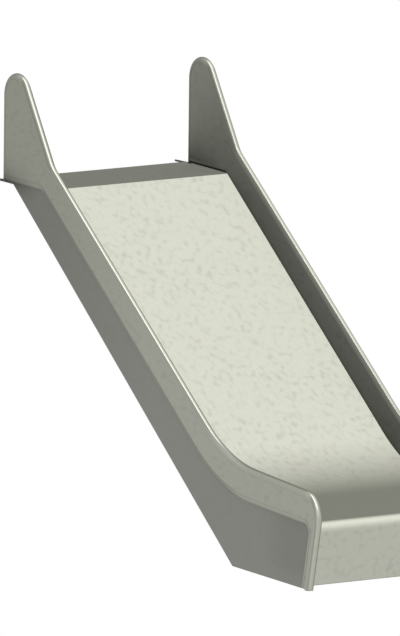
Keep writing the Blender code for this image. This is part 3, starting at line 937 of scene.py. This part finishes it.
def weld_lines():
    """The two ends of every run of weld, each as x and a point of the side profile."""
    runs = []
    for corner, along in rib_corners():
        down = Vector((along.y, -along.x))
        inside = corner + down * RIB_THICKNESS
        for x in (-bed_half, bed_half):
            runs.append(((x, corner), (x, corner + down * RIB_SIZE)))
            runs.append(((x, inside + along * RIB_THICKNESS), (x, inside + along * RIB_SIZE)))
        for number in range(RIB_RUNS):
            x = (number - (RIB_RUNS - 1) / 2) * RIB_RUN_SPACING
            runs.append(((x - RIB_RUN_LENGTH / 2, corner), (x + RIB_RUN_LENGTH / 2, corner)))
    back = Vector((-STRINGER_BACK, ENTRY_HEIGHT - STRINGER_DROP))
    along = (Vector((STRINGER_GROUND_START, 0)) - back).normalized()
    top = back + Vector((-along.y, along.x)) * LIP_THICKNESS
    for number in range(LIP_RUNS):
        at = LIP_BACK + (LIP_FRONT - LIP_BACK) * (number + 0.5) / LIP_RUNS
        start = top + along * ((at + STRINGER_BACK) / along.x)
        for x in (-bed_half, bed_half):
            runs.append(((x, start), (x, start + along * LIP_RUN_LENGTH)))
    for at in FOOT_CHANNELS:
        for edge in (at - CHANNEL_WIDTH / 2, at + CHANNEL_WIDTH / 2):
            low = Vector((edge, BEAD_RADIUS * 2))
            high = Vector((edge, CHANNEL_HEIGHT))
            for x in (-bed_half, bed_half):
                runs.append(((x, low), (x, high)))
    return runs


weld_points = []
for run in weld_lines():
    weld_points += [(x, FOLD_AT_Y - point.x, point.y) for x, point in run]
weld_edges = [(index, index + 1) for index in range(0, len(weld_points), 2)]
# The welds get painted shade among the bars.
weld_steel = steel("weld_steel", WELD_SHADE, WELD_TINT, WELD_ROUGHNESS, WELD_SMUDGE)
welds = grow("under_bed_welds", weld_points, weld_edges, bead_tree(), {
    "Bead Radius": BEAD_RADIUS, "Pitch": BEAD_PITCH, "Seed": BEAD_SEED, "Steel": weld_steel})
welds.data.shade_smooth()
welds.visible_glossy = False
finish_piece(welds, "frame_steel")


# The anchor bolts.
# Studs set in the footing come up through the floor of each foot channel. A washer and a
# hexagon nut hold the channel down on each.
BOLT_PLACES = (-0.42, -0.15, 0.15, 0.42)
CHANNEL_FLOOR = 0.004
NUT_WIDTH = 0.0219
NUT_HEIGHT = 0.0108
NUT_SIDES = 6
NUT_TURN = math.radians(60)
WASHER_WIDTH = 0.024
WASHER_THICKNESS = 0.0025
WASHER_SIDES = 24
STUD_WIDTH = 0.012
STUD_HEIGHT = 0.024
STUD_SIDES = 16
BOLT_SEED = 3
BOLT_SHADE = 0.46
BOLT_TINT = (1.0, 1.0, 0.95)
BOLT_ROUGHNESS = 0.30
BOLT_SMUDGE = 0.06


def bolt_tree():
    """Nodes that set a stud with its washer and nut on each point, turned at random."""
    tree = bpy.data.node_groups.new("anchor_bolts", "GeometryNodeTree")
    for name, kind in (("Places", "Geometry"), ("Nut Width", "Float"), ("Nut Height", "Float"),
                       ("Washer Width", "Float"), ("Washer Thickness", "Float"),
                       ("Stud Width", "Float"), ("Stud Height", "Float"), ("Seed", "Int"),
                       ("Steel", "Material")):
        tree.interface.new_socket(name, in_out="INPUT", socket_type="NodeSocket" + kind)
    tree.interface.new_socket("Bolts", in_out="OUTPUT", socket_type="NodeSocketGeometry")
    given = add_node(tree, "NodeGroupInput").outputs

    def disc(sides, width, height, base):
        body = add_node(tree, "GeometryNodeMeshCylinder", {
            "Vertices": sides, "Radius": calculate(tree, "MULTIPLY", width, 0.5),
            "Depth": height})
        middle = calculate(tree, "MULTIPLY_ADD", height, 0.5, base)
        lift = add_node(tree, "ShaderNodeCombineXYZ", {"Z": middle})
        return add_node(tree, "GeometryNodeTransform", {
            "Geometry": body.outputs["Mesh"], "Translation": lift.outputs[0]}).outputs[0]

    washer = disc(WASHER_SIDES, given["Washer Width"], given["Washer Thickness"], 0.0)
    nut = disc(NUT_SIDES, given["Nut Width"], given["Nut Height"], given["Washer Thickness"])
    stud = disc(STUD_SIDES, given["Stud Width"], given["Stud Height"], 0.0)
    bolt = add_node(tree, "GeometryNodeJoinGeometry")
    for body in (washer, nut, stud):
        tree.links.new(body, bolt.inputs[0])
    turned = add_node(tree, "FunctionNodeRandomValue", {
        "Min": (0, 0, 0), "Max": (0, 0, NUT_TURN), "Seed": given["Seed"]},
        data_type="FLOAT_VECTOR")
    set_out = add_node(tree, "GeometryNodeInstanceOnPoints", {
        "Points": given["Places"], "Instance": bolt.outputs[0], "Rotation": turned.outputs[0]})
    realized = add_node(tree, "GeometryNodeRealizeInstances", {0: set_out.outputs[0]})
    clad = add_node(tree, "GeometryNodeSetMaterial", {
        "Geometry": realized.outputs[0], "Material": given["Steel"]})
    add_node(tree, "NodeGroupOutput", {"Bolts": clad.outputs[0]})
    return tree


# The bolts get painted shade inside the channels.
bolt_steel = steel("bolt_steel", BOLT_SHADE, BOLT_TINT, BOLT_ROUGHNESS, BOLT_SMUDGE)
bolt_points = [(x, FOLD_AT_Y - at, CHANNEL_FLOOR) for at in FOOT_CHANNELS for x in BOLT_PLACES]
bolts = grow("anchor_bolts", bolt_points, [], bolt_tree(), {
    "Nut Width": NUT_WIDTH, "Nut Height": NUT_HEIGHT, "Washer Width": WASHER_WIDTH,
    "Washer Thickness": WASHER_THICKNESS, "Stud Width": STUD_WIDTH,
    "Stud Height": STUD_HEIGHT, "Seed": BOLT_SEED, "Steel": bolt_steel})
bolts.data.shade_smooth()
bolts.data.set_sharp_from_angle(angle=SHARP_FROM)
bolts.visible_glossy = False
finish_piece(bolts, "frame_steel")
